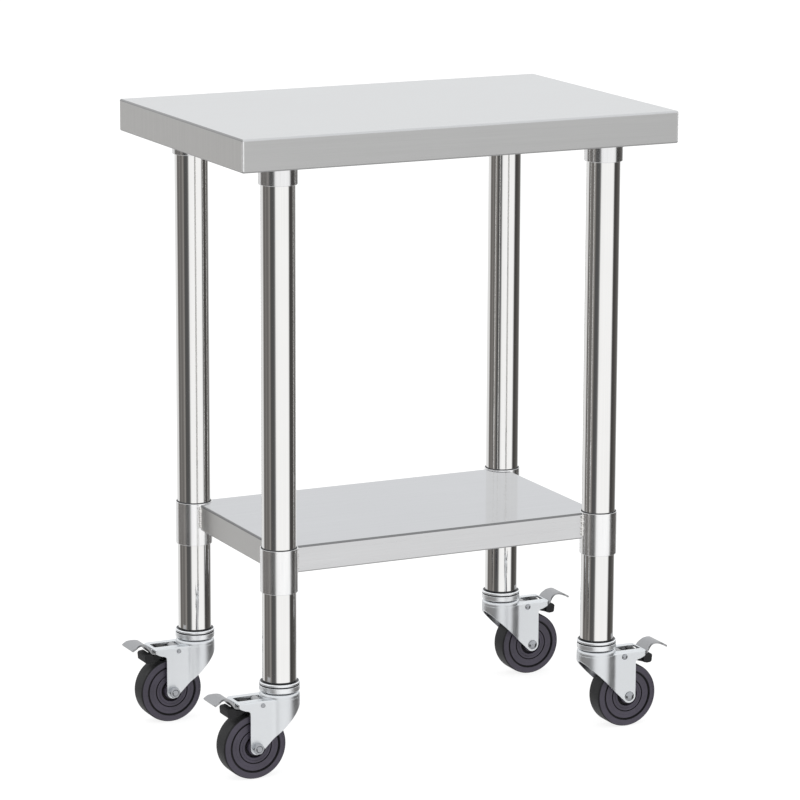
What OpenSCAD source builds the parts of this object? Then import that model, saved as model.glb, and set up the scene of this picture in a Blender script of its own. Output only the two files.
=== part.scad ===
// Stainless work table: a pan-shaped top and a height-adjustable undershelf on
// four tubular legs, each leg on a swivel caster with a foot-pedal brake.
// +Z is up, +X along the long side, the front is towards -Y. The origin lies on
// the floor under the middle of the top. Millimetres.

/* [Table top] */
// Length of the top along X
top_length = 610; // [560:10:760]
// Depth of the top along Y
top_depth = 400; // [380:10:600]
// Height of the working surface above the floor
table_height = 830; // [780:5:900]
// Depth of the turned-down edge of the top
apron_drop = 42; // [36:1:52]
// Thickness of the top's sheet
sheet = 1.5; // [1.2:0.1:2]
// Width of the return along the bottom of the turned-down edge
hem_width = 12; // [8:1:16]

/* [Legs] */
// Outside diameter of the leg tube
tube_od = 44; // [40:0.5:46]
// Wall of the leg tube
tube_wall = 1.5; // [1.2:0.1:2]
// Distance from the end of the top to the leg's axis, along X
leg_inset_x = 75; // [60:1:90]
// Distance from the front or back of the top to the leg's axis, along Y
leg_inset_y = 62; // [58:1:80]
// Outside diameter of the sockets that hold the leg tops
socket_od = 50; // [49.5:0.5:54]
// Height of the socket's lower rim above the floor, below the working surface
socket_drop = 68; // [62:1:90]

/* [Undershelf] */
// Height of the shelf's surface above the floor, as delivered
shelf_height = 296; // [260:1:480]
// Depth of the shelf's turned-down edge
shelf_apron = 35; // [28:1:42]
// Outside diameter of the collars that grip the legs
collar_od = 48.4; // [48:0.2:50]
// Length of the collars
collar_length = 57; // [50:1:70]

/* [Casters] */
// Wheel diameter
wheel_dia = 86; // [82:0.5:86.5]
// Width of the tyre
wheel_width = 30; // [26:1:31]
// Horizontal distance from the swivel axis to the wheel's axle
trail = 40; // [38:0.5:42]
// Height of the caster's bearing cup, where the leg stands
caster_height = 124; // [120:1:126]
// Diameter of the upper bearing cup
cup_dia = 52; // [52:0.5:56]
// Thickness of the fork's sheet steel
fork_sheet = 2.5; // [2:0.1:2.6]

/* [Fits] */
// Radial clearance of collars and sockets on the leg tubes
slide_gap = 0.08; // [0.05:0.01:0.1]
// Radial clearance of turning fits
turn_gap = 0.05; // [0.03:0.01:0.1]

/* [Hidden] */
lx = top_length / 2 - leg_inset_x;     // leg axes at (+-lx, +-ly)
ly = top_depth / 2 - leg_inset_y;
tube_r = tube_od / 2;
leg_top = table_height - 31;           // upper end of the tubes, inside the sockets
channel_h = 25;                        // depth of the channels under the top
chan_bot = table_height - sheet - channel_h;
socket_bot = table_height - socket_drop;
collar_bot = shelf_height + 1 - collar_length;
wr = wheel_dia / 2;
core_r = 0.775 * wr;                   // joint between core and tyre
fork_in = 18;                          // half the clear width between the cheeks
fork_out = fork_in + fork_sheet;
crown_r = 26;                          // round back of the fork
fork_top = 104;                        // upper face of the fork's plate
plate_end = 66;                        // end of the plate, under the pedal
pin_x = 32;                            // pedal pin, from the swivel axis
pin_z = fork_top - 5.8;
pin_r = 2.5;
king_r = 6;
axle_r = 4;                            // M8 axle bolt
sleeve_r = 6;                          // spacer sleeve around the axle bolt
eps = 0.01;

FL = [-1, -1];
FR = [1, -1];
BL = [-1, 1];
BR = [1, 1];
CORNERS = [FL, FR, BL, BR];

// ---------------------------------------------------------------- helpers

module at_leg(c) { translate([c[0] * lx, c[1] * ly, 0]) children(); }

// A caster is drawn trailing towards +X from its swivel axis. The left pair is
// the same caster turned half a turn, so it trails towards -X.
module at_caster(c) { at_leg(c) rotate([0, 0, c[0] > 0 ? 0 : 180]) children(); }

// Turns a profile drawn in X and Z into a solid along Y, from y0 to y1.
module along_y(y0, y1) {
  translate([0, y1, 0]) rotate([90, 0, 0]) linear_extrude(height = y1 - y0) children();
}

// A cylinder along Y, from y0 to y1.
module y_cyl(r, y0, y1, fn = 64) {
  translate([0, y1, 0]) rotate([90, 0, 0]) cylinder(r = r, h = y1 - y0, $fn = fn);
}

// Rectangle centred on the origin with round corners.
module round_rect(x, y, r) {
  union() {
    square([x - 2 * r, y], center = true);
    square([x, y - 2 * r], center = true);
    for (i = [-1, 1], j = [-1, 1])
      translate([i * (x / 2 - r), j * (y / 2 - r)]) circle(r = r, $fn = 48);
  }
}

// Revolves a radius-height outline about the wheel's axle.
module about_axle() {
  translate([trail, 0, wr]) rotate([90, 0, 0]) rotate_extrude($fn = 128) children();
}

// ---------------------------------------------------------------- top

module tabletop() {
  color([0.86, 0.87, 0.88]) difference() {
    translate([0, 0, table_height - apron_drop])
      linear_extrude(height = apron_drop) round_rect(top_length, top_depth, 2);
    // hollow underside, above the return
    translate([0, 0, table_height - apron_drop + sheet])
      linear_extrude(height = apron_drop - 2 * sheet)
        square([top_length - 2 * sheet, top_depth - 2 * sheet], center = true);
    // opening inside the return
    translate([0, 0, table_height - apron_drop - 1])
      linear_extrude(height = sheet + 2)
        square([top_length - 2 * hem_width, top_depth - 2 * hem_width], center = true);
  }
}

// Hat-section channel welded under the top, across the two sockets of one side.
module top_channel(s) {
  len_y = top_depth - 2 * sheet - 0.2;
  color([0.7, 0.71, 0.72]) translate([s * lx, 0, 0]) along_y(-len_y / 2, len_y / 2)
    difference() {
      union() {
        translate([-30, chan_bot]) square([60, channel_h]);
        translate([-44, table_height - sheet - 2]) square([88, 2]);
      }
      translate([-28, chan_bot + 2]) square([56, channel_h]);
    }
}

// Closed-ended socket that takes the top of a leg, with a flange welded to the channel.
module leg_socket(c) {
  color([0.8, 0.81, 0.82]) at_leg(c) difference() {
    union() {
      translate([0, 0, socket_bot]) cylinder(d = socket_od, h = chan_bot - socket_bot, $fn = 96);
      translate([-28, -32, chan_bot - 2.5]) cube([56, 64, 2.5]);
    }
    translate([0, 0, socket_bot - 1]) cylinder(r = tube_r + slide_gap, h = leg_top - socket_bot + 1.2, $fn = 96);
    // tapped hole for the set screw, on the side away from the front
    translate([0, 0, socket_bot + 16]) rotate([-90, 0, 0]) cylinder(r = 3, h = socket_od, $fn = 32);
  }
}

// Hexagon-socket set screw along +Y with its tip on the tube.
module set_screw(outer_r) {
  tip = tube_r + 0.02;
  translate([0, 0, 0]) rotate([-90, 0, 0]) difference() {
    translate([0, 0, tip]) cylinder(r = 2.98, h = outer_r + 2.5 - tip, $fn = 32);
    translate([0, 0, outer_r - 0.5]) cylinder(r = 1.6, h = 4, $fn = 6);
  }
}

module socket_set_screws() {
  color([0.55, 0.56, 0.58]) for (c = CORNERS)
    at_leg(c) translate([0, 0, socket_bot + 16]) set_screw(socket_od / 2);
}

// ---------------------------------------------------------------- legs

module leg(c) {
  color([0.78, 0.78, 0.78]) at_leg(c) translate([0, 0, caster_height]) difference() {
    cylinder(r = tube_r, h = leg_top - caster_height, $fn = 96);
    translate([0, 0, -1]) cylinder(r = tube_r - tube_wall, h = leg_top - caster_height + 2, $fn = 96);
  }
}

// Plug pressed into the foot of each leg, bored for the caster's threaded stem.
module leg_inserts() {
  color([0.45, 0.46, 0.48]) for (c = CORNERS) at_leg(c)
    translate([0, 0, caster_height + 0.1]) difference() {
      cylinder(r = tube_r - tube_wall - 0.02, h = 32, $fn = 96);
      translate([0, 0, -1]) cylinder(r = king_r + 0.02, h = 34, $fn = 64);
      // relief round the middle
      translate([0, 0, 10]) difference() {
        cylinder(r = tube_r, h = 12, $fn = 64);
        translate([0, 0, -1]) cylinder(r = 14, h = 14, $fn = 64);
      }
    }
}

// ---------------------------------------------------------------- caster, fixed half

// Threaded stem, upper bearing cup and kingpin with its riveted foot, in one piece.
module caster_stem(c) {
  cr = cup_dia / 2;
  gz = caster_height - 4.2;   // groove round the cup
  color([0.8, 0.82, 0.84]) at_caster(c) rotate_extrude($fn = 128) union() {
    // kingpin and its foot
    polygon([[0, fork_top - 6.6], [8.2, fork_top - 6.6], [9.4, fork_top - 5.4], [9.4, fork_top - fork_sheet - 0.3],
             [king_r, fork_top - fork_sheet - 0.3], [king_r, fork_top + 8.9], [0, fork_top + 8.9]]);
    // cup, open below over the balls
    polygon([[0, fork_top + 8.9], [21.6, fork_top + 8.9], [21.6, fork_top + 6.2], [cr - 0.8, fork_top + 6.2],
             [cr, fork_top + 7],
             [cr, gz - 1.5], [cr - 0.7, gz - 0.8], [cr - 1.4, gz - 0.5], [cr - 1.4, gz + 0.5],
             [cr - 0.7, gz + 0.8], [cr, gz + 1.5], [cr, caster_height - 1.6], [cr - 1.2, caster_height - 0.4],
             [tube_r + 1, caster_height], [0, caster_height]]);
    // stem with a pilot end
    polygon([[0, caster_height - 1], [king_r, caster_height - 1], [king_r, caster_height + 33],
             [king_r - 1.2, caster_height + 34.5], [0, caster_height + 34.5]]);
  }
}

module swivel_balls() {
  color([0.6, 0.61, 0.62]) for (c = CORNERS) at_caster(c)
    for (a = [0 : 30 : 330]) rotate([0, 0, a]) translate([18.6, 0, fork_top + 7.1]) sphere(r = 1.79, $fn = 24);
}

// ---------------------------------------------------------------- undershelf

module undershelf() {
  x = 2 * lx + sheet;
  y = 2 * ly + sheet;
  z0 = shelf_height - shelf_apron;
  color([0.84, 0.85, 0.86]) difference() {
    translate([-x / 2, -y / 2, z0]) cube([x, y, shelf_apron]);
    translate([-x / 2 + sheet, -y / 2 + sheet, z0 + sheet])
      cube([x - 2 * sheet, y - 2 * sheet, shelf_apron - 2 * sheet]);
    translate([-x / 2 + 10, -y / 2 + 10, z0 - 1]) cube([x - 20, y - 20, sheet + 2]);
    for (c = CORNERS) at_leg(c) translate([0, 0, z0 - 1]) cylinder(d = collar_od, h = shelf_apron + 2, $fn = 96);
  }
}

module shelf_collar(c) {
  color([0.8, 0.81, 0.82]) at_leg(c) translate([0, 0, collar_bot]) difference() {
    cylinder(d = collar_od, h = collar_length, $fn = 96);
    translate([0, 0, -1]) cylinder(r = tube_r + slide_gap, h = collar_length + 2, $fn = 96);
    translate([0, 0, 12]) rotate([-90, 0, 0]) cylinder(r = 3, h = collar_od, $fn = 32);
  }
}

module collar_set_screws() {
  color([0.55, 0.56, 0.58]) for (c = CORNERS)
    at_leg(c) translate([0, 0, collar_bot + 12]) rotate([-90, 0, 0]) difference() {
      translate([0, 0, tube_r + 0.3]) cylinder(r = 2.98, h = collar_od / 2 + 2.2 - tube_r, $fn = 32);
      translate([0, 0, collar_od / 2]) cylinder(r = 1.6, h = 4, $fn = 6);
    }
}

// ---------------------------------------------------------------- caster, turning half

// Plan of the fork: round crown with a straight channel towards the pedal.
module fork_plan(r, half) {
  circle(r = r, $fn = 128);
  translate([0, -half]) square([plate_end - 4, 2 * half]);
}

// Side outline of a cheek and its skirts.
module cheek_outline() {
  union() {
    translate([trail, wr]) circle(r = 9, $fn = 64);
    // sloping back edge from the axle boss up to the crown
    polygon([[trail - 6.3, wr - 6.41], [-30, fork_top - 4.9], [-30, fork_top], [plate_end + 1, fork_top],
             [plate_end + 1, fork_top - 5], [61, fork_top - 8.5], [56, fork_top - 10.6],
             [50.5, fork_top - 11.4], [trail + 9, fork_top - 14.5],
             [trail + 9, wr], [trail, wr]]);
  }
}

module fork(c) {
  color([0.84, 0.86, 0.89]) at_caster(c) difference() {
    union() {
      intersection() {
        difference() {
          union() {
            translate([0, 0, 25]) linear_extrude(height = fork_top - 25) fork_plan(crown_r, fork_out);
            // rounded end of the plate
            translate([0, 0, 25]) linear_extrude(height = fork_top - 25)
              translate([plate_end - 16, 0]) round_rect(32, 2 * fork_out, 4);
          }
          translate([0, 0, 20]) linear_extrude(height = fork_top - fork_sheet - 20) union() {
            circle(r = crown_r - fork_sheet, $fn = 128);
            translate([0, -fork_in]) square([plate_end + 20, 2 * fork_in]);
          }
        }
        along_y(-40, 40) cheek_outline();
      }
      // raised crown that carries the lower race
      rotate_extrude($fn = 128)
        polygon([[0, fork_top - fork_sheet], [crown_r - 0.6, fork_top - fork_sheet], [crown_r - 0.6, fork_top],
                 [crown_r - 1.2, fork_top + 2.2], [crown_r - 2.6, fork_top + 4], [crown_r - 4.6, fork_top + 5],
                 [20.2, fork_top + 5], [20.2, fork_top + 4.9], [0, fork_top + 4.9]]);
    }
    // kingpin hole
    translate([0, 0, 80]) cylinder(r = king_r + turn_gap, h = 40, $fn = 96);
    // window over the brake cam
    translate([26, -9, fork_top - 12]) cube([36, 18, 20]);
    // axle and pedal pin holes
    translate([trail, 0, wr]) y_cyl(axle_r + 0.02, -40, 40);
    translate([pin_x, 0, pin_z]) y_cyl(pin_r + 0.01, -40, 40);
  }
}

// Domed-head axle bolt.
module axle_bolt(c) {
  color([0.8, 0.82, 0.85]) at_caster(c) translate([trail, 0, wr]) union() {
    y_cyl(axle_r, -fork_out - 0.5, fork_out + 8);
    translate([0, -fork_out, 0]) rotate([90, 0, 0]) rotate_extrude($fn = 96)
      intersection() {
        translate([0, 0]) square([6.4, 4.4]);
        translate([0, -2.6]) circle(r = 7, $fn = 96);
      }
  }
}

module axle_nut(c) {
  color([0.72, 0.74, 0.77]) at_caster(c) translate([trail, fork_out + 6.5, wr]) rotate([90, 0, 0])
    difference() {
      intersection() {
        cylinder(r = 7.5, h = 6.5, $fn = 6);
        // chamfered corners
        rotate_extrude($fn = 96) polygon([[0, 0], [6.5, 0], [7.6, 0.9], [7.6, 6.5], [0, 6.5]]);
      }
      translate([0, 0, -1]) cylinder(r = axle_r + 0.01, h = 9, $fn = 64);
    }
}

module axle_sleeve(c) {
  color([0.65, 0.66, 0.68]) at_caster(c) translate([trail, 0, wr]) difference() {
    y_cyl(sleeve_r, -fork_in + 0.01, fork_in - 0.01, 96);
    y_cyl(axle_r + 0.02, -40, 40);
  }
}

// Pin through both cheeks, with one domed and one flattened head.
module pedal_pin(c) {
  color([0.78, 0.8, 0.83]) at_caster(c) translate([pin_x, 0, pin_z]) union() {
    y_cyl(pin_r, -fork_out - 0.5, fork_out + 0.5);
    translate([0, -fork_out, 0]) rotate([90, 0, 0]) rotate_extrude($fn = 64)
      intersection() {
        square([4, 2.2]);
        translate([0, -2.6]) circle(r = 4.8, $fn = 96);
      }
    y_cyl(3.1, fork_out, fork_out + 1.2);
  }
}

// ---------------------------------------------------------------- wheel

module wheel_core(c) {
  h = wheel_width / 2 - 0.8;
  color([0.34, 0.31, 0.35]) at_caster(c) about_axle() difference() {
    union() {
      translate([sleeve_r + turn_gap, -fork_in + 0.6]) square([4.4, 2 * fork_in - 1.2]);
      translate([sleeve_r + turn_gap, -h + 6]) square([core_r - sleeve_r - turn_gap - 4, 2 * h - 12]);
      translate([14.5, -h]) square([core_r - 14.5, 2 * h]);
    }
    for (s = [-1, 1]) {
      // ring groove in the face
      translate([20.6, s * h - 0.6]) square([1, 1.2]);
      // step down to the tyre
      translate([core_r - 0.9, s * h - 0.8]) square([2, 1.6]);
    }
  }
}

module tyre(c) {
  h = wheel_width / 2;
  s = 4.2;
  color([0.13, 0.12, 0.13]) at_caster(c) about_axle() union() {
    translate([core_r, -h]) square([wr - s - core_r, 2 * h]);
    translate([core_r, -h + s]) square([wr - core_r, 2 * (h - s)]);
    for (k = [-1, 1]) translate([wr - s, k * (h - s)]) circle(r = s, $fn = 64);
  }
}

// ---------------------------------------------------------------- brake pedal

// Side outline of the bent pedal strip, from the cam to the tip.
module pedal_outline() {
  union() {
    circle(r = 6, $fn = 64);
    polygon([[0, -6], [13, -5.4], [25, -5.2], [32, -4.2], [37, -0.6], [41.5, 5.6], [46.5, 9.6], [52, 10.4],
             [58, 9], [64.6, 5.4],
             [66.2, 7.4], [59.2, 11.4], [52.4, 13.1], [45.4, 12.1], [39.2, 7.2], [34.6, 1], [30.4, -1.8],
             [24, -2.7], [13, -2.6], [5, 2]]);
  }
}

// Plan outline of the pedal: narrow under the plate, waisted neck, flared tip.
module pedal_plan() {
  difference() {
    union() {
      translate([-8, -8]) square([44, 16]);
      translate([35.4, -16]) square([4.6, 32]);
      translate([39.9, -18.5]) square([27, 37]);
    }
    for (s = [-1, 1]) {
      translate([47, s * 30]) circle(r = 16.6, $fn = 96);
      translate([37, s * 30.4]) circle(r = 15, $fn = 96);
    }
  }
}

module pedal(c) {
  color([0.66, 0.67, 0.68]) at_caster(c) translate([pin_x, 0, pin_z]) difference() {
    intersection() {
      along_y(-30, 30) pedal_outline();
      translate([0, 0, -20]) linear_extrude(height = 50) pedal_plan();
    }
    y_cyl(pin_r + turn_gap, -40, 40);
    // seat of the brake shoe
    translate([14.5, -5, -20]) cube([10, 10, 40]);
  }
}

module brake_shoe(c) {
  color([0.16, 0.16, 0.17]) at_caster(c) translate([pin_x, 0, pin_z]) union() {
    translate([14.52, -4.98, -6.2]) cube([9.96, 9.96, 11.4]);
    // pad over the tyre
    along_y(-10, 10) polygon([[13, -5.5], [13, -7.1], [34, -13.4], [34, -5.5]]);
    // nose that reaches out under the bent pedal, past the end of the plate
    along_y(-13, 13) polygon([[33, -13.1], [38, -14.6], [43.5, -14.2], [45.2, -12.4], [46, -4.4], [44.4, -2.4],
                              [38.4, -1.4], [36.2, -2.4], [33, -4.9]]);
  }
}

// ---------------------------------------------------------------- output

tabletop();
top_channel(-1);  // top_channel_left
top_channel(1);  // top_channel_right
leg_socket(FL);  // leg_socket_front_left
leg_socket(FR);  // leg_socket_front_right
leg_socket(BL);  // leg_socket_back_left
leg_socket(BR);  // leg_socket_back_right
socket_set_screws();
leg(FL);  // leg_front_left
leg(FR);  // leg_front_right
leg(BL);  // leg_back_left
leg(BR);  // leg_back_right
leg_inserts();
caster_stem(FL);  // caster_stem_front_left
caster_stem(FR);  // caster_stem_front_right
caster_stem(BL);  // caster_stem_back_left
caster_stem(BR);  // caster_stem_back_right
swivel_balls();
undershelf();
shelf_collar(FL);  // shelf_collar_front_left
shelf_collar(FR);  // shelf_collar_front_right
shelf_collar(BL);  // shelf_collar_back_left
shelf_collar(BR);  // shelf_collar_back_right
collar_set_screws();
fork(FL);  // fork_front_left
fork(FR);  // fork_front_right
fork(BL);  // fork_back_left
fork(BR);  // fork_back_right
axle_bolt(FL);  // axle_bolt_front_left
axle_bolt(FR);  // axle_bolt_front_right
axle_bolt(BL);  // axle_bolt_back_left
axle_bolt(BR);  // axle_bolt_back_right
axle_nut(FL);  // axle_nut_front_left
axle_nut(FR);  // axle_nut_front_right
axle_nut(BL);  // axle_nut_back_left
axle_nut(BR);  // axle_nut_back_right
axle_sleeve(FL);  // axle_sleeve_front_left
axle_sleeve(FR);  // axle_sleeve_front_right
axle_sleeve(BL);  // axle_sleeve_back_left
axle_sleeve(BR);  // axle_sleeve_back_right
pedal_pin(FL);  // pedal_pin_front_left
pedal_pin(FR);  // pedal_pin_front_right
pedal_pin(BL);  // pedal_pin_back_left
pedal_pin(BR);  // pedal_pin_back_right
wheel_core(FL);  // wheel_core_front_left
wheel_core(FR);  // wheel_core_front_right
wheel_core(BL);  // wheel_core_back_left
wheel_core(BR);  // wheel_core_back_right
tyre(FL);  // tyre_front_left
tyre(FR);  // tyre_front_right
tyre(BL);  // tyre_back_left
tyre(BR);  // tyre_back_right
pedal(FL);  // pedal_front_left
pedal(FR);  // pedal_front_right
pedal(BL);  // pedal_back_left
pedal(BR);  // pedal_back_right
brake_shoe(FL);  // brake_shoe_front_left
brake_shoe(FR);  // brake_shoe_front_right
brake_shoe(BL);  // brake_shoe_back_left
brake_shoe(BR);  // brake_shoe_back_right
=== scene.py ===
import math
import bmesh
import bpy
from mathutils import Matrix, Vector


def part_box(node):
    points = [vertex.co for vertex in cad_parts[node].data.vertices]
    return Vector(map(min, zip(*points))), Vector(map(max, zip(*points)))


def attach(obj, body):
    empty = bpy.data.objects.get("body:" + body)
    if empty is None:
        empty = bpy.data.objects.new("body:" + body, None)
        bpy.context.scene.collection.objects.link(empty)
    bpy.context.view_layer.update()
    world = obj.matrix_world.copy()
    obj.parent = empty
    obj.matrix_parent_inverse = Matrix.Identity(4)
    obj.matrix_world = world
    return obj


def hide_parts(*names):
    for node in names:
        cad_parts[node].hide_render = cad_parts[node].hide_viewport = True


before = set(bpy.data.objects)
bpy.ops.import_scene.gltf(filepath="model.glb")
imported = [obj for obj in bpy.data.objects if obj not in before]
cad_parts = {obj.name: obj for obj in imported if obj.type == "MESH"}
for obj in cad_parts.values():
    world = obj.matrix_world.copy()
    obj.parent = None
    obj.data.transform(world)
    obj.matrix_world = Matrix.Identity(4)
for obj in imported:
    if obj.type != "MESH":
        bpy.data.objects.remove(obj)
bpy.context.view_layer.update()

scene = bpy.context.scene
scene.view_settings.view_transform = "Standard"
scene.view_settings.look = "None"

PI = math.pi
CORNERS = {"front_left": (-1, -1), "front_right": (1, -1), "back_left": (-1, 1), "back_right": (1, 1)}

# ------------------------------------------------------------------ sizes, in millimetres, from the frame


def mm_box(node):
    lo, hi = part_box(node)
    return [v * 1000 for v in lo], [v * 1000 for v in hi]


TOP_LO, TOP_HI = mm_box("tabletop")
SHELF_LO, SHELF_HI = mm_box("undershelf")
LEG_LO, LEG_HI = mm_box("leg_front_right")
COL_LO, COL_HI = mm_box("shelf_collar_front_right")
SOC_LO, SOC_HI = mm_box("leg_socket_front_right")
STEM_LO, STEM_HI = mm_box("caster_stem_front_right")
FORK_LO, FORK_HI = mm_box("fork_front_right")
TYRE_LO, TYRE_HI = mm_box("tyre_front_right")
PIN_LO, PIN_HI = mm_box("pedal_pin_front_right")

LX = (LEG_LO[0] + LEG_HI[0]) / 2
LY = -(LEG_LO[1] + LEG_HI[1]) / 2
TUBE_R = (LEG_HI[0] - LEG_LO[0]) / 2
CUP_Z = LEG_LO[2]
TRAIL = (TYRE_LO[0] + TYRE_HI[0]) / 2 - LX
WR = (TYRE_HI[2] - TYRE_LO[2]) / 2
HALF_TYRE = (TYRE_HI[1] - TYRE_LO[1]) / 2
PIN_X = (PIN_LO[0] + PIN_HI[0]) / 2 - LX
PIN_Z = (PIN_LO[2] + PIN_HI[2]) / 2
PLATE_END = FORK_HI[0] - LX
FT = FORK_HI[2] - 5.0         # upper face of the fork's plate
SHEET = 1.5

# ------------------------------------------------------------------ outlines


def arc(cx, cy, r, a0, a1, n):
    """n + 1 points along an arc, angles in degrees."""
    return [(cx + r * math.cos(math.radians(a0 + (a1 - a0) * k / n)),
             cy + r * math.sin(math.radians(a0 + (a1 - a0) * k / n))) for k in range(n + 1)]


def fillet(points, n=4):
    """Closed outline of (x, y) or (x, y, r) corners, with each corner that has an r rounded off."""
    out = []
    m = len(points)
    for i, p in enumerate(points):
        r = p[2] if len(p) > 2 else 0
        b = Vector(p[:2])
        if r <= 0:
            out.append((b.x, b.y))
            continue
        u = (Vector(points[i - 1][:2]) - b)
        v = (Vector(points[(i + 1) % m][:2]) - b)
        lu, lv = u.length, v.length
        u.normalize()
        v.normalize()
        ang = u.angle(v)
        if ang > PI - 0.02:
            out.append((b.x, b.y))
            continue
        t = min(r / math.tan(ang / 2), lu * 0.49, lv * 0.49)
        r = t * math.tan(ang / 2)
        centre = b + (u + v).normalized() * (r / math.sin(ang / 2))
        p0, p1 = b + u * t, b + v * t
        a0 = math.atan2(*(p0 - centre).yx)
        a1 = math.atan2(*(p1 - centre).yx)
        d = (a1 - a0 + PI) % (2 * PI) - PI
        for k in range(n + 1):
            a = a0 + d * k / n
            out.append((centre.x + r * math.cos(a), centre.y + r * math.sin(a)))
    return out


def smooth(points, n=4):
    """Catmull-Rom curve through open points."""
    out = []
    pts = [Vector(p) for p in points]
    ext = [pts[0] * 2 - pts[1]] + pts + [pts[-1] * 2 - pts[-2]]
    for i in range(1, len(ext) - 2):
        a, b, c, d = ext[i - 1:i + 3]
        for k in range(n):
            t = k / n
            q = 0.5 * ((2 * b) + (c - a) * t + (2 * a - 5 * b + 4 * c - d) * t * t + (3 * b - a - 3 * c + d) * t ** 3)
            out.append((q.x, q.y))
    out.append((pts[-1].x, pts[-1].y))
    return out


# ------------------------------------------------------------------ meshes

MATS = {}


def mesh_from(name, verts, faces, mat_ids=None, uvs=None, merge=0.0005):
    """Closed mesh in metres from millimetre points. uvs holds one list of (u, v) per face."""
    bm = bmesh.new()
    vs = [bm.verts.new([c * 0.001 for c in v]) for v in verts]
    layer = bm.loops.layers.uv.new("flat") if uvs else None
    for i, f in enumerate(faces):
        try:
            face = bm.faces.new([vs[k] for k in f])
        except ValueError:
            continue
        if mat_ids:
            face.material_index = mat_ids[i]
        if layer:
            for loop, uv in zip(face.loops, uvs[i]):
                loop[layer].uv = (uv[0] * 0.001, uv[1] * 0.001)
    bmesh.ops.remove_doubles(bm, verts=bm.verts, dist=merge * 0.001)
    bmesh.ops.dissolve_degenerate(bm, dist=1e-7, edges=bm.edges)
    bmesh.ops.recalc_face_normals(bm, faces=bm.faces)
    me = bpy.data.meshes.new(name)
    bm.to_mesh(me)
    bm.free()
    return me


def lathe(name, profile, seg=96, axis="Z", mat_of=None, origin=(0, 0, 0)):
    """Turns a closed (radius, height) outline about Z or Y. mat_of(r, h) picks a material index."""
    verts, faces, ids = [], [], []
    n = len(profile)
    for s in range(seg):
        a = 2 * PI * s / seg
        c, d = math.cos(a), math.sin(a)
        for r, h in profile:
            verts.append((origin[0] + r * c, origin[1] + r * d, origin[2] + h) if axis == "Z"
                         else (origin[0] + r * c, origin[1] + h, origin[2] + r * d))
    for s in range(seg):
        t = (s + 1) % seg
        for k in range(n):
            j = (k + 1) % n
            if profile[k][0] < 1e-6 and profile[j][0] < 1e-6:
                continue
            faces.append((s * n + k, t * n + k, t * n + j, s * n + j))
            if mat_of:
                ids.append(mat_of((profile[k][0] + profile[j][0]) / 2, (profile[k][1] + profile[j][1]) / 2))
    return mesh_from(name, verts, faces, ids or None, merge=0.002)


def prism(name, outline, lo, hi, axis="Z"):
    """Extrudes a closed outline: (x, y) along Z, or (x, z) along Y."""
    n = len(outline)
    put = (lambda p, h: (p[0], p[1], h)) if axis == "Z" else (lambda p, h: (p[0], h, p[1]))
    verts = [put(p, lo) for p in outline] + [put(p, hi) for p in outline]
    faces = [tuple(range(n)), tuple(range(2 * n - 1, n - 1, -1))]
    faces += [(k, (k + 1) % n, n + (k + 1) % n, n + k) for k in range(n)]
    return mesh_from(name, verts, faces)


def stack(name, rings):
    """Closed solid through rings of equal length, each a list of (x, y, z)."""
    n = len(rings[0])
    verts = [p for ring in rings for p in ring]
    faces = [tuple(range(n))]
    for k in range(len(rings) - 1):
        a, b = k * n, (k + 1) * n
        faces += [(a + i, a + (i + 1) % n, b + (i + 1) % n, b + i) for i in range(n)]
    top = (len(rings) - 1) * n
    faces.append(tuple(range(top + n - 1, top - 1, -1)))
    return mesh_from(name, verts, faces)


def temp(me):
    o = bpy.data.objects.new("work", me)
    scene.collection.objects.link(o)
    return o


def combine(base, *steps):
    """Cuts, joins or intersects meshes in turn: steps are ("DIFFERENCE" | "UNION" | "INTERSECT", mesh)."""
    o = temp(base)
    for op, me in steps:
        tool = temp(me)
        mod = o.modifiers.new("b", "BOOLEAN")
        mod.operation, mod.object, mod.solver = op, tool, "EXACT"
        made = bpy.data.meshes.new_from_object(o.evaluated_get(bpy.context.evaluated_depsgraph_get()))
        o.modifiers.clear()
        o.data = made
        bpy.data.objects.remove(tool)
    me = o.data
    bpy.data.objects.remove(o)
    bm = bmesh.new()
    bm.from_mesh(me)
    bmesh.ops.remove_doubles(bm, verts=bm.verts, dist=2e-5)
    bmesh.ops.dissolve_degenerate(bm, dist=1e-6, edges=bm.edges)
    bmesh.ops.recalc_face_normals(bm, faces=bm.faces)
    bm.to_mesh(me)
    bm.free()
    return me


def piece(name, me, mats, body, replaces=(), place=None, bevel=0.0, angle=32, segs=2):
    """A finished piece: shaded, bevelled, in place, riding on its body."""
    ids = [min(p.material_index, len(mats) - 1) for p in me.polygons]
    me.materials.clear()
    for m in mats:
        me.materials.append(MATS[m])
    me.polygons.foreach_set("material_index", ids)
    if bevel == 0:
        me.set_sharp_from_angle(angle=math.radians(angle))
    me.polygons.foreach_set("use_smooth", [True] * len(me.polygons))
    o = bpy.data.objects.new(name, me)
    scene.collection.objects.link(o)
    if place is not None:
        o.matrix_world = place
    if bevel:
        b = o.modifiers.new("edges", "BEVEL")
        b.width, b.segments, b.limit_method, b.angle_limit = bevel * 0.001, segs, "ANGLE", math.radians(angle)
        b.use_clamp_overlap = True
        b.miter_outer = "MITER_ARC"
    w = o.modifiers.new("normals", "WEIGHTED_NORMAL")
    w.keep_sharp = True
    w.weight = 60
    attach(o, body)
    if replaces:
        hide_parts(*replaces)
    return o


# ------------------------------------------------------------------ materials


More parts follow.
